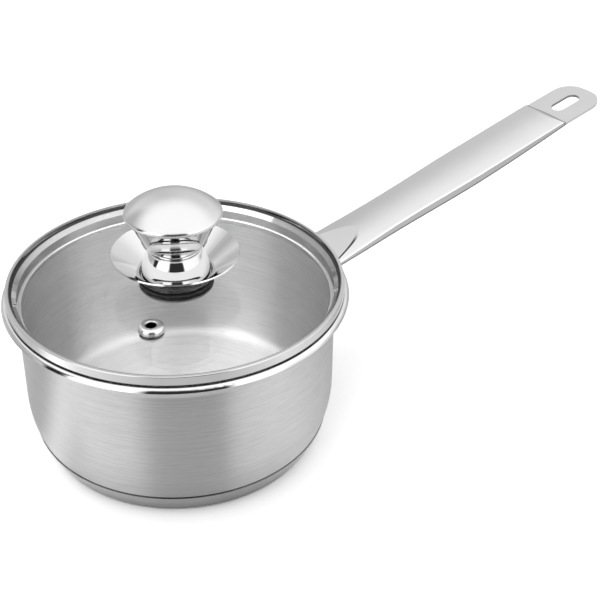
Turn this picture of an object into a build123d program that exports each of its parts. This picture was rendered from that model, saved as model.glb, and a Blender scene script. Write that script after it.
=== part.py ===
from build123d import *
from math import asin, cos, degrees, radians, sin, sqrt, tan
import os

# Saucepan with a glass lid. Millimetres, +Z up. The pot stands on Z = 0 with its axis on the origin and its
# handle along +X. The lid is drawn where it rests on the rim.

os.makedirs("parts", exist_ok=True)

# Pot shell: driving sizes
pot_inner_radius = 80.0
wall = 0.8
rim_height = 87.3
foot_curve_radius = 56.0      # outside of the curve that draws the wall in towards the base
foot_curve_top = 33.0         # height where that curve leaves the straight wall
floor_corner = 8.8            # outside radius between the curve and the floor
rim_flare_radius = 12.0       # inside face of the flare
rim_flare_angle = 50.0        # how far the flare leans out from the vertical, in degrees
rim_curl_radius = 2.2         # outside of the curl at the top of the rim
rim_curl_angle = 100.0
rim_lip = 1.0                 # straight edge after the curl

# Base: driving sizes
cap_sheet = 0.6
core_thickness = 5.0
core_edge_rise = 1.7          # how far the core climbs round the shell's corner, above the shell's floor
seam_height = 13.0
cap_corner = 2.5
bond_gap = 0.03               # film between the bonded layers

# Handle: driving sizes, measured along its slope from the pot wall
handle_length = 230.0
handle_rise = 12.0            # degrees above the horizontal
handle_drop = 13.9            # from the top of the rim down to where the line of the crown meets the wall
handle_sheet = 1.6
handle_crown = 1.1            # the face stands this much higher along its middle than at its edges
crown_run_in = 40.0           # the crown grows to its full height over this length from the wall
crown_run_out = 4.0           # and ends over this length before the hanging tab
crown_step = 0.15             # the flat ends lie this much lower than the edges of the crown
crown_clearance = 0.25        # the trimming profile passes this much above the crown
root_width = 33.0
neck_width = 29.4
grip_width = 32.0
neck_position = 62.0
grip_position = 130.0
tab_length = 37.5
tab_step = 1.2                # the hanging tab begins this much lower than the flat root
tab_bend = 1.0                # and is bent down by this many degrees
tab_corner = 13.0
side_depth = 3.6              # deepest point of the folded sides below the sheet
fold_start = 0.0              # where the folded sides begin
fold_lead = 6.0               # the hollow between the sides begins this much later and ends this much earlier
fold_radius = 1.2
slot_length = 21.0
slot_width = 8.8
slot_from_end = 20.0
flange_height = 24.0
flange_width = 30.0
flange_corner = 6.0
weld_gap = 0.05

# Lid: driving sizes
glass_thickness = 4.0
glass_edge_chamfer = 0.4
glass_seat_gap = 0.1          # between the glass and the lip over it
glass_edge_gap = 0.15         # between the glass and the side of the band
band_sheet = 0.6
band_bend = 0.5
band_overhang = 5.6           # how far the band reaches beyond the inside of the pot
band_lip = 2.0                # width of the lip on top of the glass
band_ledge = 2.9              # width of the seat under the glass
skirt_depth = 6.6             # how far the skirt hangs below the seat
skirt_draft = 1.1             # the skirt leans in by this much towards its lower edge
skirt_clearance = 0.1         # to the straight part of the pot's wall; wider where the rim flares
skirt_slope_drop = 2.0
hem_radius = 0.8              # bead along the skirt's lower edge
hem_inset = 0.1               # of the bead from the outside of the skirt
lid_seat_gap = 0.3            # daylight between the band and the rim it rests on

# Vent: driving sizes
vent_distance = 47.5          # from the lid's axis
vent_angle = -137.0           # degrees from the handle
vent_flange_radius = 6.5
vent_hole_radius = 2.5
vent_sheet = 0.7
vent_height = 3.0             # of the raised collar above the glass
vent_collar_radius = 6.2
vent_edge_round = 0.3         # of the flange
vent_collar_round = 2.0       # of the collar's outer edge
vent_mouth_round = 0.9        # of the edge round the hole
vent_rivet_length = 0.9       # tube below the backing ring
vent_ring_radius = 6.0
vent_ring_thickness = 0.8
vent_gap = 0.05

# Knob: driving sizes
gasket_thickness = 1.0
gasket_radius = 19.0
saucer_sheet = 0.8
saucer_foot_radius = 18.8
saucer_rim_radius = 32.5
saucer_height = 14.2
saucer_slope = 37.0           # of the dish above its upright foot, in degrees from the horizontal
saucer_bend = 2.0
bulb_sheet = 0.8
bulb_radius = 17.4
bulb_base_radius = 16.6
bulb_belly_height = 2.7       # widest point above the saucer's floor
bulb_height = 15.9
bulb_top_radius = 13.2
bulb_shoulder = 2.0           # rounding at the top
ring_radius = 12.1            # the ring stands back, as a groove between bulb and cone
ring_height = 1.0
cone_sheet = 0.8
cone_height = 18.8
cone_bottom_radius = 13.4
cone_top_radius = 23.0
cone_swell = 0.4              # the cone's side stands out by this much from a straight line
cap_radius = 24.5             # at the widest point of its rounded edge
cap_edge_radius = 2.2
cap_tuck = 0.7                # the edge curls under by this much below its widest point
cap_overlap = 0.5             # of that edge over the cone
cap_rise = 10.7               # of the dome above its widest point
dome_sheet = 0.9
knob_fit = 0.04               # radial clearance of the crimped and pressed knob pieces
insert_radius = 5.0
insert_head_radius = 7.5
insert_head = 1.4
thread_radius = 2.5
thread_clearance = 0.05
thread_depth = 13.0
screw_grip = 9.0              # length of the screw inside the insert
screw_head_radius = 5.0
screw_head_height = 3.0
screw_head_round = 1.0
drive_length = 5.6
drive_width = 1.2
drive_depth = 1.5
screw_hole_radius = 3.5
washer_radius = 9.0
washer_thickness = 1.0

# Pot and base: sizes worked out from the drivers
pot_outer_radius = pot_inner_radius + wall
shell_floor = cap_sheet + bond_gap + core_thickness + bond_gap
curve_axis_radius = pot_outer_radius - foot_curve_radius
flare_angle = radians(rim_flare_angle)
curl_axis_radius = (pot_inner_radius + rim_flare_radius
                    - (rim_flare_radius - rim_curl_radius) * cos(flare_angle))
flare_start = rim_height - rim_curl_radius - (rim_flare_radius - rim_curl_radius) * sin(flare_angle)

# Lid: heights and radii worked out from the drivers
band_radius = pot_inner_radius + band_overhang
band_bottom = rim_height + lid_seat_gap
glass_bottom = band_bottom + band_sheet
glass_top = glass_bottom + glass_thickness
glass_radius = band_radius - band_sheet - glass_edge_gap
lip_under = glass_top + glass_seat_gap
band_top = lip_under + band_sheet
skirt_radius = pot_inner_radius - skirt_clearance
vent_position = (vent_distance * cos(radians(vent_angle)), vent_distance * sin(radians(vent_angle)))
vent_tube_radius = vent_hole_radius + vent_sheet

# Knob: heights and radii worked out from the drivers
lower_gasket_bottom = glass_bottom - gasket_thickness
washer_bottom = lower_gasket_bottom - washer_thickness
gasket_top = glass_top + gasket_thickness
saucer_floor = gasket_top + saucer_sheet
saucer_rim = gasket_top + saucer_height
dish_depth = (saucer_rim_radius - saucer_foot_radius) * tan(radians(saucer_slope))
bulb_top = saucer_floor + bulb_height
ring_top = bulb_top + ring_height
cone_floor = ring_top + cone_sheet
washer_hole_radius = thread_radius + thread_clearance
cone_top = ring_top + cone_height
bore_radius = insert_radius + knob_fit


def bowl_sketch(offset, floor, corner, top):
    """Half section of everything inside the pot's outer curve, moved outwards by offset."""
    side = pot_outer_radius + offset
    curve = foot_curve_radius + offset
    reach = curve - corner
    corner_height = floor + corner
    corner_radius = curve_axis_radius + sqrt(reach**2 - (foot_curve_top - corner_height) ** 2)
    lean = degrees(asin((foot_curve_top - corner_height) / reach))
    stop = degrees(asin(max(foot_curve_top - top, 0) / curve))
    with BuildSketch(Plane.XZ) as half:
        with BuildLine():
            Line((0, floor), (corner_radius, floor))
            CenterArc((corner_radius, corner_height), corner, -90, 90 - lean)
            foot = CenterArc((curve_axis_radius, foot_curve_top), curve, -lean, lean - stop)
            end = foot @ 1
            if top > foot_curve_top:
                end = (side, top)
                Line(foot @ 1, end)
            Polyline(end, (0, top), (0, floor))
        make_face()
    return half.sketch


def ring_sketch(points, rounded, radius, centre=(0, 0)):
    """Half section of a turned piece from its corner points, with one or more radii for the rounded ones."""
    with BuildSketch(Plane(origin=(*centre, 0), x_dir=(1, 0, 0), z_dir=(0, -1, 0))) as half:
        with BuildLine():
            Polyline(*points, close=True)
        make_face()
        radii = radius if isinstance(radius, tuple) else (radius,) * len(rounded)
        for corner, corner_radius in zip(rounded, radii):
            fillet(half.vertices().sort_by_distance(corner)[0], corner_radius)
    return half.sketch


# Pot shell: drawn bowl, flared rim and curl
with BuildPart() as pot_shell:
    add(bowl_sketch(0, shell_floor, floor_corner, flare_start))
    revolve(axis=Axis.Z)
    add(bowl_sketch(-wall, shell_floor + wall, floor_corner - wall, flare_start + wall))
    revolve(axis=Axis.Z, mode=Mode.SUBTRACT)
    with BuildSketch(Plane.XZ):
        with BuildLine():
            flare_axis = (pot_inner_radius + rim_flare_radius, flare_start)
            curl_axis = (curl_axis_radius, rim_height - rim_curl_radius)
            curl_start = 180 - rim_flare_angle
            inside = CenterArc(flare_axis, rim_flare_radius, 180, -rim_flare_angle)
            outside = CenterArc(flare_axis, rim_flare_radius - wall, 180, -rim_flare_angle)
            curl_top = CenterArc(curl_axis, rim_curl_radius, curl_start, -rim_curl_angle)
            curl_under = CenterArc(curl_axis, rim_curl_radius - wall, curl_start, -rim_curl_angle)
            lip_top = Line(curl_top @ 1, curl_top @ 1 + (curl_top % 1) * rim_lip)
            lip_bottom = Line(curl_under @ 1, curl_under @ 1 + (curl_under % 1) * rim_lip)
            Line(lip_top @ 1, lip_bottom @ 1)
            Line(inside @ 0, outside @ 0)
        make_face()
    revolve(axis=Axis.Z)
pot_shell.part.label = "pot_shell"
export_step(pot_shell.part, "parts/pot_shell.step")

# Aluminium heat disc: fills the space between the shell's floor and the cap
with BuildPart() as base_core:
    add(bowl_sketch(0, cap_sheet + bond_gap, cap_corner - cap_sheet, shell_floor + core_edge_rise))
    revolve(axis=Axis.Z)
    add(bowl_sketch(bond_gap, shell_floor - bond_gap, floor_corner + bond_gap, flare_start))
    revolve(axis=Axis.Z, mode=Mode.SUBTRACT)
base_core.part.label = "base_core"
export_step(base_core.part, "parts/base_core.step")

# Steel cap that encloses the heat disc and ends at the seam
with BuildPart() as base_cap:
    add(bowl_sketch(bond_gap + cap_sheet, 0, cap_corner, seam_height))
    revolve(axis=Axis.Z)
    add(bowl_sketch(bond_gap, cap_sheet, cap_corner - cap_sheet, seam_height))
    revolve(axis=Axis.Z, mode=Mode.SUBTRACT)
base_cap.part.label = "base_cap"
export_step(base_cap.part, "parts/base_cap.step")

# Handle: work planes and places along the slope
slope = radians(handle_rise)
root_height = rim_height - handle_drop
root = Vector(pot_outer_radius, 0, root_height)
along = Vector(cos(slope), 0, sin(slope))
upwards = Vector(-sin(slope), 0, cos(slope))
side_plane = Plane(origin=root, x_dir=along, z_dir=(0, -1, 0))
face_plane = Plane(origin=root, x_dir=along, z_dir=upwards)
crease = handle_length - tab_length
tab_drop = tab_length * sin(radians(tab_bend))
tab_end = crease + tab_length * cos(radians(tab_bend))
wall_sag = pot_outer_radius - sqrt(pot_outer_radius**2 - (root_width / 2) ** 2)
strip_start = -2 * wall_sag   # inside the wall, where the wall trims it
flat_level = -handle_crown - crown_step
tab_level = flat_level - tab_step
fold_level = flat_level - handle_sheet
crown_radius = ((grip_width / 2) ** 2 + handle_crown**2) / (2 * handle_crown)
handle_reach = 2 * (tab_step + tab_drop + handle_sheet + side_depth + handle_crown)


def handle_outline(inset):
    """Plan of the handle seen square to its face, its sides drawn in by inset."""
    root_edge = (strip_start, root_width / 2 - inset)
    neck_edge = (neck_position, neck_width / 2 - inset)
    grip_edge = (grip_position, grip_width / 2 - inset)
    with BuildSketch(face_plane) as plan:
        with BuildLine():
            near = Spline(root_edge, neck_edge, grip_edge, tangents=((1, 0), (1, 0)))
            Polyline(near @ 1, (tab_end, grip_width / 2 - inset), (tab_end, 0))
            Line(near @ 0, (strip_start, 0))
            mirror(about=Plane.XZ)
        make_face()
        fillet(plan.vertices().group_by(Axis.X)[-1], tab_corner)
    return plan.sketch


def crown_sketch(start, depth):
    """Cross section under the crowned face, at a distance from the wall and lowered by depth."""
    radius = crown_radius - depth
    edge = -depth - radius + sqrt(radius**2 - root_width**2)
    with BuildSketch(Plane(origin=root + along * start, x_dir=(0, 1, 0), z_dir=along)) as section:
        with BuildLine():
            crown = ThreePointArc((-root_width, edge), (0, -depth), (root_width, edge))
            Polyline(crown @ 1, (root_width, -handle_reach), (-root_width, -handle_reach), crown @ 0)
        make_face()
    return section.sketch


# Hollow between the folded sides of the handle
with BuildPart() as channel:
    channel_start = fold_start + fold_lead
    channel_end = crease - crown_run_out - fold_lead
    add(crown_sketch(channel_start, handle_sheet))
    extrude(amount=channel_end - channel_start, dir=along)
    add(handle_outline(handle_sheet))
    extrude(amount=handle_reach, both=True, mode=Mode.INTERSECT)

# Block with the handle's plan, its crowned face and rounded shoulders
with BuildPart() as crowned_block:
    add(handle_outline(0))
    extrude(amount=handle_reach, both=True)
    add(crown_sketch(2 * strip_start, 0))
    extrude(amount=2 * handle_length, dir=along, mode=Mode.INTERSECT)
    crown_face = crowned_block.faces().filter_by(GeomType.CYLINDER).sort_by(SortBy.AREA)[-1]
    fillet(crown_face.edges().sort_by(Axis.X)[1:], fold_radius)

# Flange of the handle that is spot-welded to the pot wall
with BuildPart() as weld_flange:
    with BuildSketch(Plane.YZ) as patch:
        with Locations((0, root_height + flat_level - handle_sheet / 2)):
            Rectangle(flange_width, flange_height, align=(Align.CENTER, Align.MAX))
        fillet(patch.vertices().group_by(Axis.Y)[0], flange_corner)
    extrude(amount=2 * pot_outer_radius)
    with BuildSketch(Plane.XY):
        Circle(pot_outer_radius + weld_gap + handle_sheet)
    extrude(amount=rim_height, mode=Mode.INTERSECT)

# Handle: pressed strip with folded sides, hanging tab and weld flange
with BuildPart() as handle:
    with BuildSketch(side_plane):
        with BuildLine():
            run_in_end = crown_run_in * (1 - crown_clearance / flat_level)
            run_in = Polyline(
                (strip_start, flat_level),
                (0, flat_level),
                (run_in_end, crown_clearance),
                (crease - 1.5 * crown_run_out, crown_clearance),
            )
            run_out = ThreePointArc(run_in @ 1, (crease - crown_run_out, 0), (crease, tab_level))
            tab = Polyline(
                run_out @ 1,
                (tab_end, tab_level - tab_drop),
                (tab_end, tab_level - tab_drop - handle_sheet),
                (crease, tab_level - handle_sheet),
            )
            fold = ThreePointArc(tab @ 1, (crease / 2, fold_level - side_depth), (fold_start, fold_level))
            Polyline(fold @ 1, (strip_start, fold_level), run_in @ 0)
        make_face()
    extrude(amount=root_width, both=True)
    add(crowned_block.part, mode=Mode.INTERSECT)
    add(channel.part, mode=Mode.SUBTRACT)
    with BuildSketch(face_plane):
        with Locations((tab_end - slot_from_end, 0)):
            SlotOverall(slot_length, slot_width)
    extrude(amount=handle_reach, both=True, mode=Mode.SUBTRACT)
    add(weld_flange.part)
    with BuildSketch(Plane.XY):
        Circle(pot_outer_radius + weld_gap)
    extrude(amount=2 * rim_height, mode=Mode.SUBTRACT)
handle.part.label = "handle"
export_step(handle.part, "parts/handle.step")

# Glass disc with holes for the knob screw and the vent
with BuildPart() as glass_panel:
    with BuildSketch(Plane.XY.offset(glass_bottom)):
        Circle(glass_radius)
        Circle(screw_hole_radius, mode=Mode.SUBTRACT)
        with Locations(vent_position):
            Circle(vent_tube_radius + vent_gap, mode=Mode.SUBTRACT)
    extrude(amount=glass_thickness)
    chamfer(glass_panel.edges().filter_by(GeomType.CIRCLE).group_by(SortBy.RADIUS)[-1], glass_edge_chamfer)
glass_panel.part.label = "glass_panel"
export_step(glass_panel.part, "parts/glass_panel.step")

# Rim band: clasps the glass, rests on the pot's rim and centres the lid with its skirt
seat_radius = band_radius - band_ledge
lip_radius = band_radius - band_lip
slope_bottom = band_bottom - skirt_slope_drop
skirt_bottom = band_bottom - skirt_depth
top_corner = (band_radius, band_top)
bottom_corner = (band_radius, band_bottom)
band_points = (
    (lip_radius, lip_under),
    (lip_radius, band_top),
    top_corner,
    bottom_corner,
    (seat_radius, band_bottom),
    (skirt_radius + skirt_draft, slope_bottom),
    (skirt_radius, skirt_bottom),
    (skirt_radius - band_sheet, skirt_bottom),
    (skirt_radius + skirt_draft - band_sheet, slope_bottom + band_sheet / 2),
    (seat_radius - band_sheet / 2, glass_bottom),
    (band_radius - band_sheet, glass_bottom),
    (band_radius - band_sheet, lip_under),
)
with BuildPart() as lid_rim_band:
    add(ring_sketch(band_points, (top_corner, bottom_corner), band_bend))
    with BuildSketch(Plane.XZ):
        with Locations((skirt_radius - hem_inset - hem_radius, skirt_bottom)):
            Circle(hem_radius)
    revolve(axis=Axis.Z)
lid_rim_band.part.label = "lid_rim_band"
export_step(lid_rim_band.part, "parts/lid_rim_band.step")

# Vent eyelet: flange on the glass, raised collar and a tube through the glass
vent_bottom = glass_bottom - vent_ring_thickness - vent_rivet_length
flange_corner_point = (vent_flange_radius, glass_top + vent_sheet)
collar_corner = (vent_collar_radius, glass_top + vent_height)
mouth_corner = (vent_hole_radius, glass_top + vent_height)
vent_points = (
    (vent_hole_radius, vent_bottom),
    (vent_tube_radius, vent_bottom),
    (vent_tube_radius, glass_top),
    (vent_flange_radius, glass_top),
    flange_corner_point,
    collar_corner,
    mouth_corner,
)
with BuildPart() as vent_eyelet:
    vent_corners = (flange_corner_point, collar_corner, mouth_corner)
    vent_rounds = (vent_edge_round, vent_collar_round, vent_mouth_round)
    add(ring_sketch(vent_points, vent_corners, vent_rounds, vent_position))
    revolve(axis=Axis((*vent_position, 0), (0, 0, 1)))
vent_eyelet.part.label = "vent_eyelet"
export_step(vent_eyelet.part, "parts/vent_eyelet.step")

# Ring under the glass that the eyelet is riveted over
with BuildPart() as vent_backing_ring:
    with BuildSketch(Plane.XY.offset(glass_bottom - vent_ring_thickness)):
        with Locations(vent_position):
            Circle(vent_ring_radius)
            Circle(vent_tube_radius + vent_gap, mode=Mode.SUBTRACT)
    extrude(amount=vent_ring_thickness)
vent_backing_ring.part.label = "vent_backing_ring"
export_step(vent_backing_ring.part, "parts/vent_backing_ring.step")


def flat_ring(bottom, outer_radius, inner_radius, thickness):
    """A flat ring on the lid's axis."""
    with BuildPart() as ring:
        with BuildSketch(Plane.XY.offset(bottom)):
            Circle(outer_radius)
            Circle(inner_radius, mode=Mode.SUBTRACT)
        extrude(amount=thickness)
    return ring.part


# Flat rings: silicone on both sides of the glass, the screw's washer and the spacer in the knob's waist
flat_rings = {
    "upper_gasket": flat_ring(glass_top, gasket_radius, screw_hole_radius, gasket_thickness),
    "lower_gasket": flat_ring(lower_gasket_bottom, gasket_radius, screw_hole_radius, gasket_thickness),
    "screw_washer": flat_ring(washer_bottom, washer_radius, washer_hole_radius, washer_thickness),
    "knob_waist_ring": flat_ring(bulb_top, ring_radius, bore_radius, ring_height),
}
for ring_name, ring_part in flat_rings.items():
    ring_part.label = ring_name
    export_step(ring_part, f"parts/{ring_name}.step")

# Knob screw: pan head with a cross recess, driven in from below
head_plane = Plane.XY.offset(washer_bottom - screw_head_height)
with BuildPart() as knob_screw:
    with BuildSketch(head_plane):
        Circle(screw_head_radius)
    extrude(amount=screw_head_height)
    fillet(knob_screw.edges().group_by(Axis.Z)[0], screw_head_round)
    with BuildSketch(head_plane):
        Rectangle(drive_length, drive_width)
        Rectangle(drive_width, drive_length)
    extrude(amount=drive_depth, mode=Mode.SUBTRACT)
    with BuildSketch(Plane.XY.offset(washer_bottom)):
        Circle(thread_radius)
    extrude(amount=saucer_floor + screw_grip - washer_bottom)
knob_screw.part.label = "knob_screw"
export_step(knob_screw.part, "parts/knob_screw.step")

# Knob saucer: dished guard between the fingers and the glass
with BuildPart() as knob_saucer:
    with BuildSketch(Plane.XZ):
        with BuildLine():
            FilletPolyline(
                (screw_hole_radius, gasket_top),
                (saucer_foot_radius, gasket_top),
                (saucer_foot_radius, saucer_rim - dish_depth),
                (saucer_rim_radius, saucer_rim),
                radius=saucer_bend,
            )
            offset(amount=saucer_sheet, side=Side.LEFT)
        make_face()
    revolve(axis=Axis.Z)
knob_saucer.part.label = "knob_saucer"
export_step(knob_saucer.part, "parts/knob_saucer.step")


def bulb_sketch(inset):
    """Half section of the bulb, its side and top drawn in by inset."""
    base_edge = (bulb_base_radius - inset, saucer_floor)
    belly = (bulb_radius - inset, saucer_floor + bulb_belly_height)
    top_edge = (bulb_top_radius - inset, bulb_top - inset)
    with BuildSketch(Plane.XZ) as half:
        with BuildLine():
            Polyline(base_edge, (0, saucer_floor), (0, bulb_top - inset), top_edge)
            TangentArc(belly, top_edge, tangent=(0, 1))
            TangentArc(belly, base_edge, tangent=(0, -1))
        make_face()
    return half.sketch


# Knob bulb: hollow lower body standing in the saucer
with BuildPart() as knob_bulb:
    add(bulb_sketch(0))
    revolve(axis=Axis.Z)
    fillet(knob_bulb.edges().group_by(Axis.Z)[-1], bulb_shoulder)
    add(bulb_sketch(bulb_sheet))
    revolve(axis=Axis.Z, mode=Mode.SUBTRACT)
    with BuildSketch(Plane.XY.offset(saucer_floor)):
        Circle(bore_radius)
    extrude(amount=bulb_height, mode=Mode.SUBTRACT)
knob_bulb.part.label = "knob_bulb"
export_step(knob_bulb.part, "parts/knob_bulb.step")

# Knob cone: flared cup under the cap
with BuildPart() as knob_cone:
    with BuildSketch(Plane.XZ):
        with BuildLine():
            cup_floor = Line((bore_radius, ring_top), (cone_bottom_radius, ring_top))
            SagittaArc(cup_floor @ 1, (cone_top_radius, cone_top), -cone_swell)
            offset(amount=cone_sheet, side=Side.LEFT)
        make_face()
    revolve(axis=Axis.Z)
knob_cone.part.label = "knob_cone"
export_step(knob_cone.part, "parts/knob_cone.step")

# Knob cap: dome with a rounded edge, crimped over the cone
cap_bottom = cone_top - cap_overlap
cap_equator = cap_bottom + cap_tuck
edge_axis_radius = cap_radius - cap_edge_radius
dome_radius = ((edge_axis_radius**2 + cap_rise**2 - cap_edge_radius**2)
               / (2 * (cap_rise - cap_edge_radius)))
dome_centre = cap_equator + cap_rise - dome_radius
dome_lean = degrees(asin(edge_axis_radius / (dome_radius - cap_edge_radius)))
tuck_angle = degrees(asin(cap_tuck / cap_edge_radius))
hollow_radius = cone_top_radius + knob_fit
with BuildPart() as knob_cap:
    with BuildSketch(Plane.XZ):
        with BuildLine():
            dome = CenterArc((0, dome_centre), dome_radius, 90, -dome_lean)
            edge_turn = dome_lean - 90 - tuck_angle
            edge = CenterArc((edge_axis_radius, cap_equator), cap_edge_radius, 90 - dome_lean, edge_turn)
            Polyline(edge @ 1, (0, cap_bottom), dome @ 0)
        make_face()
    revolve(axis=Axis.Z)
    with BuildSketch(Plane.XZ):
        with BuildLine():
            hollow_lean = degrees(asin(hollow_radius / (dome_radius - dome_sheet)))
            hollow = CenterArc((0, dome_centre), dome_radius - dome_sheet, 90, -hollow_lean)
            Polyline(hollow @ 1, (hollow_radius, cap_bottom), (0, cap_bottom), hollow @ 0)
        make_face()
    revolve(axis=Axis.Z, mode=Mode.SUBTRACT)
knob_cap.part.label = "knob_cap"
export_step(knob_cap.part, "parts/knob_cap.step")

# Knob insert: threaded post that clamps cone, waist ring and bulb down on the saucer
with BuildPart() as knob_insert:
    with BuildSketch(Plane.XY.offset(saucer_floor)):
        Circle(insert_radius)
    extrude(amount=cone_floor - saucer_floor)
    with BuildSketch(Plane.XY.offset(cone_floor)):
        Circle(insert_head_radius)
    extrude(amount=insert_head)
    with BuildSketch(Plane.XY.offset(saucer_floor)):
        Circle(thread_radius + thread_clearance)
    extrude(amount=thread_depth, mode=Mode.SUBTRACT)
knob_insert.part.label = "knob_insert"
export_step(knob_insert.part, "parts/knob_insert.step")
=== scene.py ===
import math

import bpy
from mathutils import Matrix, Vector


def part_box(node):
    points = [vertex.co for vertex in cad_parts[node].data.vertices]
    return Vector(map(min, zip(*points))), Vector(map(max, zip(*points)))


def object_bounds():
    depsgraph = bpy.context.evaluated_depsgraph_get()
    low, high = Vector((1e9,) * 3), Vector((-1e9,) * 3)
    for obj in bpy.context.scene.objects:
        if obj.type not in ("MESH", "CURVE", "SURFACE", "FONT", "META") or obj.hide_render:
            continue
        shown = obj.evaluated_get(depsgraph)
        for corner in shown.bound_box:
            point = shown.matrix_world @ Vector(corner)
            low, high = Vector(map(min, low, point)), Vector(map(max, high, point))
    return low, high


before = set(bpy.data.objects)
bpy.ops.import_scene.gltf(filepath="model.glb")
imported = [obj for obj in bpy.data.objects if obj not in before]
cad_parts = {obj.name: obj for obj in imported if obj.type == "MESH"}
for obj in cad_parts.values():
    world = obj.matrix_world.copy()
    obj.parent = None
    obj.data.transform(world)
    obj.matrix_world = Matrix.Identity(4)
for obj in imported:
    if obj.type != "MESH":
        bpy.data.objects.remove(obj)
cad_low, cad_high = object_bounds()

# Metres and degrees throughout. Angles round the part are counted from the camera to its right.

# Camera: fitted to the photograph
CAMERA_PLACE = (-0.2684, -0.4459, 0.4169)
CAMERA_HEADING = 52.0         # of the view direction, counter-clockwise from +X
CAMERA_PITCH = -33.12
CAMERA_ROLL = -0.92
CAMERA_LENS = 72.0            # millimetres, as the sensor
CAMERA_SENSOR = 36.0
CAMERA_REACH = 100.0

# Studio: what the polished steel reflects, as pairs of an angle round the part and a light level
WHITE = 1.0
SOFTBOX = 1.12
STRONG = 1.80                 # the two softboxes beside the camera
DARK = 0.03
STUDIO_LOW = (
    (-180, 0.60),
    (-120, 0.50),
    (-95, 0.50),
    (-82, 0.80),
    (-78, DARK),
    (-68, DARK),
    (-64, SOFTBOX),
    (-28, SOFTBOX),
    (-18, DARK),
    (34, DARK),
    (40, SOFTBOX),
    (95, SOFTBOX),
    (116, 0.60),
    (180, 0.60),
)
STUDIO_HIGH = (
    (-180, 0.68),
    (-165, 0.58),
    (-150, 0.72),
    (-138, 0.75),
    (-125, 0.50),
    (-86, 0.40),
    (-79, DARK),
    (-66, DARK),
    (-62, STRONG),
    (-24, STRONG),
    (-14, DARK),
    (34, DARK),
    (42, STRONG),
    (64, STRONG),
    (78, SOFTBOX),
    (100, SOFTBOX),
    (125, 0.90),
    (150, 0.78),
    (180, 0.68),
)
HIGH_FROM = (0.10, 0.30)      # sines of the elevation over which the low levels give way to the high ones
# Lower edge of the overhead softbox, as the sine of its elevation at each angle
CEILING_EDGE = (
    (-180, 0.74),
    (-165, 0.75),
    (-150, 0.76),
    (-110, 0.66),
    (-70, 0.60),
    (-26, 0.60),
    (-16, 0.76),
    (30, 0.76),
    (38, 0.60),
    (110, 0.62),
    (160, 0.72),
    (180, 0.74),
)
CEILING_SOFTNESS = 0.20
FILL_SHARE = 0.35             # of the studio's light that reaches matt surfaces; the key lamp gives the rest

# Floor: pale, with the object's shadow. In the steel it shows painted light and shade of its own, by angle as
# above.
FLOOR_SIZE = 6.0
FLOOR_COLOUR = 0.93
FLOOR_SEEN = 1.65             # colour for the camera: above white, so that only the nearest shadow shows
FLOOR_FADE = (0.5, 1.0)       # distances over which it turns into the white backdrop, for the camera only
FLOOR_REFLECTED = (
    (-180, 0.70),
    (-104, 0.75),
    (-90, 0.68),
    (-80, 0.75),
    (-65, 1.55),
    (-48, 1.02),
    (-5, 0.68),
    (26, 0.67),
    (42, 0.80),
    (65, 1.05),
    (82, 0.92),
    (125, 0.70),
    (180, 0.70),
)

# Key lamp: one large soft panel overhead
KEY_PLACE = (-0.15, 0.15, 1.30)
KEY_SIZE = 2.0
KEY_POWER = 16.0

# Metals, each as its level and its roughness, and levels of the gaskets
POT_OUTSIDE = (0.76, 0.37)
# The inside's higher level is painted light that brightens the inside of the pot; its roughness is the
# steel's own.
POT_INSIDE = (0.95, 0.38)
BASE_STEEL = (0.76, 0.22)
CORE_METAL = (0.80, 0.40)
MIRROR_STEEL = (0.86, 0.03)
CAP_STEEL = (0.86, 0.17)
BAND_STEEL = (0.80, 0.06)
VENT_STEEL = (0.96, 0.30)
ZINC_PLATING = (0.72, 0.25)
UPPER_GASKET = 0.10
LOWER_GASKET = 0.36

# Stretch of the reflections across the brushing, from 0 to 1
POT_STRETCH = 0.97
BASE_STRETCH = 0.6
CORE_STRETCH = 0.3
STRETCH_TURN = 0.25           # of a full turn, from along the rings to across them

# Brushed steel: noise drawn out into rings, as its waves per metre along and across them and its detail
LONG_LINES = (14.0, 3400.0, 4.0)
DASHES = (130.0, 2400.0, 2.0)
LINES_SHARE = 0.6             # of the long lines in the pattern; the dashes make up the rest
STREAK_SPAN = (0.32, 0.68)    # of the pattern
STREAK_LEVELS = (0.84, 1.12)  # shares of the light over that span
GRAIN_SPAN = (0.35, 0.65)
GRAIN_ROUGHNESS = (0.85, 1.15)
GRAIN_BUMP = 0.08
GRAIN_DEPTH = 0.0001
RIM_DEPTH = 0.0095            # of the polished rim below the pot's top
RIM_BLEND = 0.001
RIM_POLISH = 0.22             # share of the roughness that is left there
SEAM_REACH = 0.0003           # half the width of the painted shade line at the base's seam
SEAM_SHADE_LEVEL = 0.12

# Polished steel and glass: faint smears, as waves of noise per metre and what they do to the surface
STEEL_SMEARS = 60.0
STEEL_SMEAR_DETAIL = 4.0
SMEAR_LEVELS = (0.96, 1.03)   # shares of the light
SMEAR_SPAN = (0.35, 0.75)
SMEAR_ROUGHNESS = (0.7, 1.6)  # shares of the roughness
GLASS_SMEARS = 25.0
GLASS_SPAN = (0.4, 0.8)
GLASS_ROUGHNESS = (0.0, 0.012)
GLASS_COLOUR = 0.985
GLASS_BENDING = 1.5           # index of refraction

# Silicone: a little light goes into it, and specks of dust lie on it
SILICONE_ROUGHNESS = 0.5
SILICONE_SCATTER = 0.2
SILICONE_DEPTH = 0.002
DUST_SPECKS = 300.0           # per metre
DUST_LEVELS = (0.75, 1.25)    # shares of the light

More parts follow.
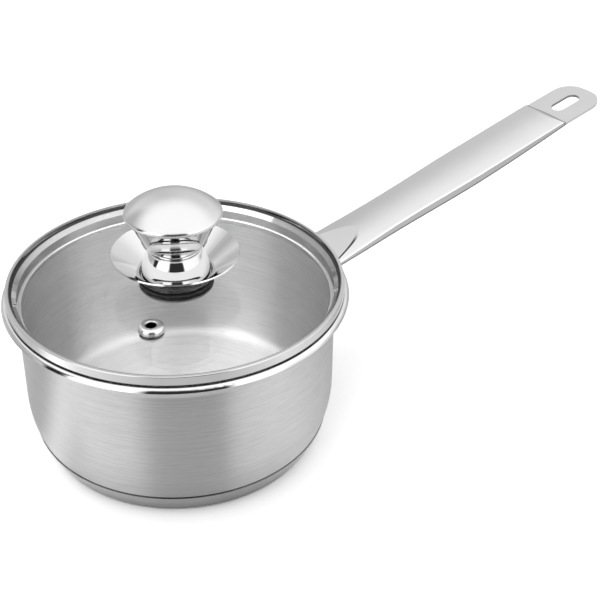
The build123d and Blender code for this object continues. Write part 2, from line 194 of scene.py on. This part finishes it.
# Lid: painted shade as a dark line along the foot of the band and along the edge of its lip, and in the dark
# bore of the vent
BAND_WALL = 0.0008            # depth of the outer wall from its outside
BAND_FOOT = (0.0009, 0.0013)  # heights above the pot's rim over which the foot's painted shade line ends
BAND_FOOT_SHADE_LEVEL = 0.08
BAND_LIP = 0.0020             # width of the lip on the glass
BAND_LIP_LINE = (0.0003, 0.0005)
BAND_LIP_SHADE_LEVEL = 0.60
SAUCER_SHADE_LEVEL = 0.16           # painted shade on the underside
BORE_EDGE = (0.0026, 0.0028)  # radii over which the painted shade of the bore ends
BORE_SHADE_LEVEL = 0.06

# Handle: its shape as in the part, measured along its slope from the wall
HANDLE_START = 0.0808         # the wall's distance from the axis
HANDLE_DROP = 0.0139          # from the top of the rim down to where the face meets the wall
HANDLE_SLOPE = 12.0
HANDLE_HALF_WIDTH = 0.016
HANDLE_CREASE = 0.1925
CROWN_RADIUS = 0.1169
TONGUE_START = -0.00125       # height of the flat tongue at the wall
TONGUE_RISE = 0.03125         # along the handle
TONGUE_END = (0.030, 0.037)
# Heights of the folded sides' lower edge: at the wall, midway and at the crease
FOLD_EDGE = (-0.0029, -0.0064, -0.0041)
SLOT_REACH = 0.0048           # to either side of the middle
SLOT_END = 0.2260

# Handle: painted shade, as widths of its dark lines and the share of the light that is left in each
CREASE_REACH = (0.0013, 0.0006)  # in the middle and at the edges
CREASE_BLEND = 0.0006
CREASE_SHADE_LEVEL = 0.55
SIDE_FACING = (0.80, 0.95)    # sideways part of the normal where the folded sides begin
SIDE_SHADE_LEVEL = 0.80
HEM_LINE = (0.0006, 0.0012)
HEM_SHADE_LEVEL = 0.35
TONGUE_LINE = (0.00003, 0.00008)
TONGUE_SHADE_LEVEL = 0.08
SLOT_FACING = (0.4, 0.6)      # upright part of the normal where the slot's wall ends
SLOT_SHADE_LEVEL = 0.40


# Node helpers
def new_material(name):
    """An empty node material and its node tree."""
    material = bpy.data.materials.new(name)
    material.use_nodes = True
    tree = material.node_tree
    tree.nodes.clear()
    return material, tree


def feed(tree, socket, value):
    """Gives a socket another socket's output or a plain value."""
    if isinstance(value, bpy.types.NodeSocket):
        tree.links.new(value, socket)
    else:
        socket.default_value = value


def math_node(tree, operation, first, second=0.0):
    """A Math node fed by sockets or plain numbers; returns its output."""
    node = tree.nodes.new("ShaderNodeMath")
    node.operation = operation
    feed(tree, node.inputs[0], first)
    feed(tree, node.inputs[1], second)
    return node.outputs[0]


def product(tree, *factors):
    """Product of sockets or plain numbers."""
    result = factors[0]
    for factor in factors[1:]:
        result = math_node(tree, "MULTIPLY", result, factor)
    return result


def vector_node(tree, operation, first, second=(0.0, 0.0, 0.0)):
    """A Vector Math node fed by sockets or plain vectors."""
    node = tree.nodes.new("ShaderNodeVectorMath")
    node.operation = operation
    feed(tree, node.inputs[0], first)
    feed(tree, node.inputs[1], second)
    return node


def axis_parts(tree, vector):
    """The X, Y and Z parts of a vector."""
    split = tree.nodes.new("ShaderNodeSeparateXYZ")
    tree.links.new(vector, split.inputs[0])
    return split.outputs["X"], split.outputs["Y"], split.outputs["Z"]


def from_axis(tree, place, centre=(0.0, 0.0, 0.0)):
    """Level distance of a place from an upright axis through the centre."""
    offset = vector_node(tree, "SUBTRACT", place, centre).outputs[0]
    level = vector_node(tree, "MULTIPLY", offset, (1.0, 1.0, 0.0)).outputs[0]
    return vector_node(tree, "LENGTH", level).outputs["Value"]


def object_place(tree):
    """Place on the object, in its own coordinates."""
    return tree.nodes.new("ShaderNodeTexCoord").outputs["Object"]


def map_range(tree, value, low, high, to_low, to_high, smooth=True):
    """Value mapped from low..high to to_low..to_high, clamped."""
    node = tree.nodes.new("ShaderNodeMapRange")
    node.interpolation_type = "SMOOTHSTEP" if smooth else "LINEAR"
    node.clamp = True
    tree.links.new(value, node.inputs["Value"])
    for key, number in (("From Min", low), ("From Max", high), ("To Min", to_low), ("To Max", to_high)):
        node.inputs[key].default_value = number
    return node.outputs["Result"]


def rising(tree, value, edges):
    """0 below the first edge, 1 above the second."""
    return map_range(tree, value, *edges, 0.0, 1.0)


def falling(tree, value, edges):
    """1 below the first edge, 0 above the second."""
    return map_range(tree, value, *edges, 1.0, 0.0)


def darkened(tree, mask, level):
    """1 where the mask is 0, the level where it is 1."""
    return map_range(tree, mask, 0.0, 1.0, 1.0, level, smooth=False)


def grey(level):
    """A neutral colour."""
    return (level, level, level, 1.0)


def blend(tree, factor, first, second):
    """Mix of two colours, each a socket or a plain level."""
    mix = tree.nodes.new("ShaderNodeMixRGB")
    for key, value in (("Color1", first), ("Color2", second)):
        feed(tree, mix.inputs[key], grey(value) if isinstance(value, float) else value)
    tree.links.new(factor, mix.inputs["Fac"])
    return mix.outputs[0]


def noise(tree, coordinates, scale, detail=3.0):
    """Soft noise from 0 to 1."""
    node = tree.nodes.new("ShaderNodeTexNoise")
    node.inputs["Scale"].default_value = scale
    node.inputs["Detail"].default_value = detail
    tree.links.new(coordinates, node.inputs["Vector"])
    return node.outputs["Fac"]


def principled(tree, **values):
    """A Principled shader with constant values on its own sockets."""
    shader = tree.nodes.new("ShaderNodeBsdfPrincipled")
    for key, value in values.items():
        shader.inputs[key.replace("_", " ")].default_value = value
    return shader


def finish_material(tree, shader):
    """Joins the shader to the material's output."""
    output = tree.nodes.new("ShaderNodeOutputMaterial")
    tree.links.new(shader.outputs[0], output.inputs["Surface"])


# Camera
def make_camera():
    heading = math.radians(CAMERA_HEADING)
    pitch = math.radians(CAMERA_PITCH)
    roll = math.radians(CAMERA_ROLL)
    level = Vector((math.cos(heading), math.sin(heading), 0.0))
    forward = level * math.cos(pitch) + Vector((0.0, 0.0, math.sin(pitch)))
    right = forward.cross(Vector((0, 0, 1))).normalized()
    up = right.cross(forward)
    right_rolled = math.cos(roll) * right - math.sin(roll) * up
    up_rolled = math.sin(roll) * right + math.cos(roll) * up
    data = bpy.data.cameras.new("photo_camera")
    data.lens = CAMERA_LENS
    data.sensor_width = CAMERA_SENSOR
    data.clip_end = CAMERA_REACH
    camera = bpy.data.objects.new("photo_camera", data)
    axes = Matrix((right_rolled, up_rolled, -forward)).transposed().to_4x4()
    camera.matrix_world = Matrix.Translation(CAMERA_PLACE) @ axes
    bpy.context.scene.collection.objects.link(camera)
    bpy.context.scene.camera = camera


# World: a white room for the camera, a studio with softboxes and dark gaps for everything else
def angle_fraction(tree, direction):
    """Angle of a direction round the part, as 0 at -180 degrees to 1 at 180."""
    turn = tree.nodes.new("ShaderNodeVectorRotate")
    turn.rotation_type = "Z_AXIS"
    turn.inputs["Angle"].default_value = math.radians(90 - CAMERA_HEADING)
    tree.links.new(direction, turn.inputs["Vector"])
    to_right, away, _ = axis_parts(tree, turn.outputs[0])
    towards = math_node(tree, "MULTIPLY", away, -1.0)
    angle = math_node(tree, "ARCTAN2", to_right, towards)
    return map_range(tree, angle, -math.pi, math.pi, 0.0, 1.0, smooth=False)


def level_ramp(tree, fraction, levels):
    """Levels by angle round the part, blended from one pair to the next."""
    ramp = tree.nodes.new("ShaderNodeValToRGB")
    ramp.color_ramp.interpolation = "LINEAR"
    tree.links.new(fraction, ramp.inputs["Fac"])
    elements = ramp.color_ramp.elements
    elements.remove(elements[-1])
    for index, (angle, level) in enumerate(levels):
        position = angle / 360 + 0.5
        element = elements[0] if index == 0 else elements.new(position)
        element.position = position
        element.color = grey(level)
    return ramp.outputs["Color"]


def make_world():
    world = bpy.data.worlds.new("studio")
    bpy.context.scene.world = world
    world.use_nodes = True
    tree = world.node_tree
    tree.nodes.clear()
    direction = tree.nodes.new("ShaderNodeTexCoord").outputs["Generated"]
    height = axis_parts(tree, direction)[2]
    fraction = angle_fraction(tree, direction)
    low = level_ramp(tree, fraction, STUDIO_LOW)
    high = level_ramp(tree, fraction, STUDIO_HIGH)
    walls = blend(tree, rising(tree, height, HIGH_FROM), low, high)
    above = math_node(tree, "SUBTRACT", height, level_ramp(tree, fraction, CEILING_EDGE))
    overhead = rising(tree, above, (-CEILING_SOFTNESS, CEILING_SOFTNESS))
    studio = blend(tree, overhead, walls, SOFTBOX)
    paths = tree.nodes.new("ShaderNodeLightPath")
    unreflected = math_node(tree, "LESS_THAN", paths.outputs["Glossy Depth"], 0.5)
    through_glass = product(tree, paths.outputs["Is Transmission Ray"], unreflected)
    seen = math_node(tree, "MAXIMUM", paths.outputs["Is Camera Ray"], through_glass)
    background = tree.nodes.new("ShaderNodeBackground")
    tree.links.new(blend(tree, seen, studio, WHITE), background.inputs["Color"])
    strength = map_range(tree, paths.outputs["Is Diffuse Ray"], 0.0, 1.0, 1.0, FILL_SHARE)
    tree.links.new(strength, background.inputs["Strength"])
    output = tree.nodes.new("ShaderNodeOutputWorld")
    tree.links.new(background.outputs[0], output.inputs["Surface"])


# Floor
def floor_material():
    material, tree = new_material("pale_floor")
    place = tree.nodes.new("ShaderNodeNewGeometry").outputs["Position"]
    reflected = level_ramp(tree, angle_fraction(tree, place), FLOOR_REFLECTED)
    paths = tree.nodes.new("ShaderNodeLightPath")
    mirrored = math_node(tree, "GREATER_THAN", paths.outputs["Glossy Depth"], 0.5)
    mirrored = math_node(tree, "MAXIMUM", mirrored, paths.outputs["Is Glossy Ray"])
    seen = math_node(tree, "MAXIMUM", paths.outputs["Is Camera Ray"], paths.outputs["Is Transmission Ray"])
    colour = blend(tree, seen, FLOOR_COLOUR, FLOOR_SEEN)
    diffuse = tree.nodes.new("ShaderNodeBsdfDiffuse")
    tree.links.new(blend(tree, mirrored, colour, reflected), diffuse.inputs["Color"])
    far = rising(tree, vector_node(tree, "LENGTH", place).outputs["Value"], FLOOR_FADE)
    backdrop = tree.nodes.new("ShaderNodeEmission")
    faded = tree.nodes.new("ShaderNodeMixShader")
    tree.links.new(product(tree, far, paths.outputs["Is Camera Ray"]), faded.inputs["Fac"])
    tree.links.new(diffuse.outputs[0], faded.inputs[1])
    tree.links.new(backdrop.outputs[0], faded.inputs[2])
    finish_material(tree, faded)
    return material


def make_floor():
    half = FLOOR_SIZE / 2
    corners = [(-half, -half, 0), (half, -half, 0), (half, half, 0), (-half, half, 0)]
    mesh = bpy.data.meshes.new("floor")
    mesh.from_pydata(corners, [], [(0, 1, 2, 3)])
    mesh.materials.append(floor_material())
    floor = bpy.data.objects.new("floor", mesh)
    floor.location.z = cad_low.z
    bpy.context.scene.collection.objects.link(floor)


# Lamp: it lights the matt surfaces and, through the glass, the inside of the pot; it isn't seen in bare steel
def make_lamp():
    data = bpy.data.lights.new("key", "AREA")
    data.shape = "RECTANGLE"
    data.size = KEY_SIZE
    data.size_y = KEY_SIZE
    data.energy = KEY_POWER
    lamp = bpy.data.objects.new("key", data)
    lamp.location = KEY_PLACE
    lamp.rotation_mode = "QUATERNION"
    lamp.rotation_quaternion = (-Vector(KEY_PLACE)).to_track_quat("-Z", "Y")
    lamp.visible_glossy = False
    bpy.context.scene.collection.objects.link(lamp)


# Brushed steel
def ring_pattern(tree, along, across, detail):
    """Noise drawn out into rings round the pot's axis."""
    place = object_place(tree)
    x, y, z = axis_parts(tree, place)
    profile = math_node(tree, "ADD", from_axis(tree, place), z)
    joined = tree.nodes.new("ShaderNodeCombineXYZ")
    for socket, part, waves in zip(joined.inputs, (x, y, profile), (along, along, across)):
        tree.links.new(product(tree, part, waves), socket)
    return noise(tree, joined.outputs[0], 1.0, detail)


def facing_inside(tree):
    """1 on surfaces that face the pot's axis or straight up, 0 on the outside."""
    geometry = tree.nodes.new("ShaderNodeNewGeometry")
    normal = geometry.outputs["True Normal"]
    level = vector_node(tree, "MULTIPLY", geometry.outputs["Position"], (1.0, 1.0, 0.0)).outputs[0]
    outwards = vector_node(tree, "DOT_PRODUCT", level, normal).outputs["Value"]
    inwards = math_node(tree, "LESS_THAN", outwards, 0.0)
    upwards = math_node(tree, "GREATER_THAN", axis_parts(tree, normal)[2], 0.5)
    return math_node(tree, "MAXIMUM", inwards, upwards)


def facing_outside(tree):
    """The reverse of facing_inside."""
    return math_node(tree, "SUBTRACT", 1.0, facing_inside(tree))


def seam_painted_shade(tree, height, seam):
    """Painted shade: the outside is dark along the seam above the base."""
    distance = math_node(tree, "ABSOLUTE", math_node(tree, "SUBTRACT", height, seam))
    line = falling(tree, distance, (SEAM_REACH, 2 * SEAM_REACH))
    mask = product(tree, line, facing_outside(tree))
    return map_range(tree, mask, 0.0, 1.0, 1.0, SEAM_SHADE_LEVEL)


def brushed_steel(name, outside, inside, stretch, polished_above=None, seam=None):
    """Steel brushed in rings round the axis, with a level and a roughness for each side.

    It is polished above one height, and has a painted shade line along the seam at another.
    """
    material, tree = new_material(name)
    shader = principled(tree, Metallic=1.0, Anisotropic=stretch, Anisotropic_Rotation=STRETCH_TURN)
    height = axis_parts(tree, object_place(tree))[2]
    lines = product(tree, ring_pattern(tree, *LONG_LINES), LINES_SHARE)
    dashes = product(tree, ring_pattern(tree, *DASHES), 1 - LINES_SHARE)
    pattern = math_node(tree, "ADD", lines, dashes)
    inner = facing_inside(tree)
    streaks = map_range(tree, pattern, *STREAK_SPAN, *STREAK_LEVELS, smooth=False)
    # Where the inside's level is higher than the outside's, the difference is painted light.
    level = product(tree, blend(tree, inner, outside[0], inside[0]), streaks)
    if seam is not None:
        level = product(tree, level, seam_painted_shade(tree, height, seam))
    tree.links.new(math_node(tree, "MINIMUM", level, 1.0), shader.inputs["Base Color"])
    spread = map_range(tree, pattern, *GRAIN_SPAN, *GRAIN_ROUGHNESS, smooth=False)
    rough = product(tree, blend(tree, inner, outside[1], inside[1]), spread)
    if polished_above is not None:
        edges = (polished_above - RIM_BLEND, polished_above + RIM_BLEND)
        rough = product(tree, rough, map_range(tree, height, *edges, 1.0, RIM_POLISH))
    tree.links.new(rough, shader.inputs["Roughness"])
    bump = tree.nodes.new("ShaderNodeBump")
    bump.inputs["Strength"].default_value = GRAIN_BUMP
    bump.inputs["Distance"].default_value = GRAIN_DEPTH
    tree.links.new(pattern, bump.inputs["Height"])
    tree.links.new(bump.outputs[0], shader.inputs["Normal"])
    tangent = tree.nodes.new("ShaderNodeTangent")
    tangent.direction_type = "RADIAL"
    tangent.axis = "Z"
    tree.links.new(tangent.outputs[0], shader.inputs["Tangent"])
    finish_material(tree, shader)
    return material


# Polished steel
def polished_steel(name, level, roughness, shade=None):
    """Polished steel with faint smears; shade is a function that gives a share of the level by place, as
    painted shade.
    """
    material, tree = new_material(name)
    shader = principled(tree, Metallic=1.0)
    smear = noise(tree, object_place(tree), STEEL_SMEARS, STEEL_SMEAR_DETAIL)
    levels = [min(level * share, 1.0) for share in SMEAR_LEVELS]
    colour = map_range(tree, smear, 0.0, 1.0, *levels, smooth=False)
    if shade is not None:
        colour = product(tree, colour, shade(tree))
    tree.links.new(colour, shader.inputs["Base Color"])
    spread = [roughness * share for share in SMEAR_ROUGHNESS]
    tree.links.new(map_range(tree, smear, *SMEAR_SPAN, *spread), shader.inputs["Roughness"])
    finish_material(tree, shader)
    return material


def saucer_painted_shade(tree):
    """Painted shade: the saucer's underside is dark."""
    return darkened(tree, facing_outside(tree), SAUCER_SHADE_LEVEL)


def bore_painted_shade(tree):
    """Painted shade: the vent's bore is dark."""
    low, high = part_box("vent_eyelet")
    radius = from_axis(tree, object_place(tree), (low + high) / 2)
    return darkened(tree, falling(tree, radius, BORE_EDGE), BORE_SHADE_LEVEL)


def band_painted_shade(tree):
    """Painted shade: the lid's band is dark along its foot and where its lip meets the glass."""
    outside, _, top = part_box("lid_rim_band")[1]
    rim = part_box("pot_shell")[1].z
    place = object_place(tree)
    radius = from_axis(tree, place)
    height = axis_parts(tree, place)[2]
    on_wall = math_node(tree, "GREATER_THAN", radius, outside - BAND_WALL)
    foot = product(tree, falling(tree, math_node(tree, "SUBTRACT", height, rim), BAND_FOOT), on_wall)
    on_top = math_node(tree, "GREATER_THAN", height, top - BAND_WALL)
    lip_edges = [outside - BAND_LIP + reach for reach in BAND_LIP_LINE]
    lip = product(tree, falling(tree, radius, lip_edges), on_top)
    return product(tree, darkened(tree, foot, BAND_FOOT_SHADE_LEVEL), darkened(tree, lip, BAND_LIP_SHADE_LEVEL))


# Painted shade on the handle
def handle_places(tree):
    """Distance along the handle from the wall, distance across it and height above its face."""
    root = (HANDLE_START, 0.0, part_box("pot_shell")[1].z - HANDLE_DROP)
    turn = tree.nodes.new("ShaderNodeVectorRotate")
    turn.rotation_type = "Y_AXIS"
    turn.inputs["Center"].default_value = root
    turn.inputs["Angle"].default_value = math.radians(HANDLE_SLOPE)
    tree.links.new(object_place(tree), turn.inputs["Vector"])
    x, across, z = axis_parts(tree, turn.outputs[0])
    along = math_node(tree, "SUBTRACT", x, root[0])
    height = math_node(tree, "SUBTRACT", z, root[2])
    return along, across, height


def normal_part(tree, axis):
    """Size of the normal's part along an axis, 0 to 2 for X to Z."""
    normal = tree.nodes.new("ShaderNodeNewGeometry").outputs["True Normal"]
    return math_node(tree, "ABSOLUTE", axis_parts(tree, normal)[axis])


def crease_painted_shade(tree, along, off_middle):
    """Painted shade: dark crease where the tab begins, wider in the middle."""
    reach = map_range(tree, off_middle, 0.0, HANDLE_HALF_WIDTH, *CREASE_REACH)
    distance = math_node(tree, "ABSOLUTE", math_node(tree, "SUBTRACT", along, HANDLE_CREASE))
    crease = falling(tree, math_node(tree, "SUBTRACT", distance, reach), (0.0, CREASE_BLEND))
    return darkened(tree, crease, CREASE_SHADE_LEVEL)


def fold_painted_shade(tree, along, height, gripped):
    """Painted shade: darker folded sides, with a dark line along their lower edge."""
    sides = product(tree, rising(tree, normal_part(tree, 1), SIDE_FACING), gripped)
    at_wall, midway, at_crease = FOLD_EDGE
    part_way = math_node(tree, "DIVIDE", along, HANDLE_CREASE)
    chord = map_range(tree, part_way, 0.0, 1.0, at_wall, at_crease, smooth=False)
    bow = product(tree, part_way, math_node(tree, "SUBTRACT", 1.0, part_way))
    dip = 4 * midway - 2 * (at_wall + at_crease)
    edge = math_node(tree, "ADD", chord, product(tree, bow, dip))
    above_edge = math_node(tree, "SUBTRACT", height, edge)
    hem = product(tree, falling(tree, above_edge, HEM_LINE), sides)
    return product(tree, darkened(tree, sides, SIDE_SHADE_LEVEL), darkened(tree, hem, HEM_SHADE_LEVEL))


def tongue_painted_shade(tree, along, across):
    """Painted shade: dark line on the right, where the flat tongue at the root cuts the crown."""
    flat = math_node(tree, "ADD", product(tree, along, TONGUE_RISE), TONGUE_START)
    crown = product(tree, across, across, 0.5 / CROWN_RADIUS)
    distance = math_node(tree, "ABSOLUTE", math_node(tree, "ADD", flat, crown))
    on_right = math_node(tree, "LESS_THAN", across, 0.0)
    line = product(tree, falling(tree, distance, TONGUE_LINE), falling(tree, along, TONGUE_END), on_right)
    return darkened(tree, line, TONGUE_SHADE_LEVEL)


def slot_painted_shade(tree, along, off_middle, gripped):
    """Painted shade: darker wall of the hanging slot."""
    beside = math_node(tree, "LESS_THAN", off_middle, SLOT_REACH)
    before_end = math_node(tree, "LESS_THAN", along, SLOT_END)
    on_tab = math_node(tree, "SUBTRACT", 1.0, gripped)
    wall = falling(tree, normal_part(tree, 2), SLOT_FACING)
    return darkened(tree, product(tree, wall, beside, before_end, on_tab), SLOT_SHADE_LEVEL)


def handle_painted_shade(tree):
    """All the painted shade lines of the handle."""
    along, across, height = handle_places(tree)
    off_middle = math_node(tree, "ABSOLUTE", across)
    gripped = math_node(tree, "LESS_THAN", along, HANDLE_CREASE)
    return product(
        tree,
        crease_painted_shade(tree, along, off_middle),
        fold_painted_shade(tree, along, height, gripped),
        tongue_painted_shade(tree, along, across),
        slot_painted_shade(tree, along, off_middle, gripped),
    )


# Glass
def clear_glass(name):
    """Clear glass with the faintest smears."""
    material, tree = new_material(name)
    shader = principled(tree, Base_Color=grey(GLASS_COLOUR), Transmission_Weight=1.0, IOR=GLASS_BENDING)
    smear = noise(tree, object_place(tree), GLASS_SMEARS)
    tree.links.new(map_range(tree, smear, *GLASS_SPAN, *GLASS_ROUGHNESS), shader.inputs["Roughness"])
    finish_material(tree, shader)
    return material


# Silicone
def silicone(name, level):
    """Matt silicone with a little dust."""
    material, tree = new_material(name)
    shader = principled(tree, Roughness=SILICONE_ROUGHNESS, Subsurface_Weight=SILICONE_SCATTER)
    shader.inputs["Subsurface Radius"].default_value = (SILICONE_DEPTH, SILICONE_DEPTH, SILICONE_DEPTH)
    dust = noise(tree, object_place(tree), DUST_SPECKS)
    levels = [level * share for share in DUST_LEVELS]
    tree.links.new(blend(tree, dust, *levels), shader.inputs["Base Color"])
    finish_material(tree, shader)
    return material


# Every node's material
def dress(material, *nodes):
    """Gives CAD nodes their material."""
    for node in nodes:
        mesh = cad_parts[node].data
        mesh.materials.clear()
        mesh.materials.append(material)


def dress_pan():
    rim_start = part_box("pot_shell")[1].z - RIM_DEPTH
    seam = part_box("base_cap")[1].z
    pot = brushed_steel("pot_brushed_steel", POT_OUTSIDE, POT_INSIDE, POT_STRETCH, rim_start, seam)
    base = brushed_steel("base_satin_steel", BASE_STEEL, BASE_STEEL, BASE_STRETCH, seam=seam)
    core = brushed_steel("core_aluminium", CORE_METAL, CORE_METAL, CORE_STRETCH)
    dress(pot, "pot_shell")
    dress(base, "base_cap")
    dress(core, "base_core")
    dress(polished_steel("handle_mirror_steel", *MIRROR_STEEL, handle_painted_shade), "handle")


def dress_lid():
    dress(clear_glass("clear_glass"), "glass_panel")
    dress(polished_steel("band_steel", *BAND_STEEL, band_painted_shade), "lid_rim_band")
    dress(polished_steel("vent_steel", *VENT_STEEL, bore_painted_shade), "vent_eyelet", "vent_backing_ring")
    dress(polished_steel("saucer_mirror_steel", *MIRROR_STEEL, saucer_painted_shade), "knob_saucer")
    dress(polished_steel("mirror_steel", *MIRROR_STEEL), "knob_cone", "knob_waist_ring", "knob_bulb")
    dress(polished_steel("cap_steel", *CAP_STEEL), "knob_cap")
    dress(polished_steel("zinc_plated_steel", *ZINC_PLATING), "knob_screw", "screw_washer", "knob_insert")
    dress(silicone("dark_silicone", UPPER_GASKET), "upper_gasket")
    dress(silicone("grey_silicone", LOWER_GASKET), "lower_gasket")


make_camera()
make_world()
make_floor()
make_lamp()
dress_pan()
dress_lid()
bpy.context.scene.view_settings.view_transform = "Standard"
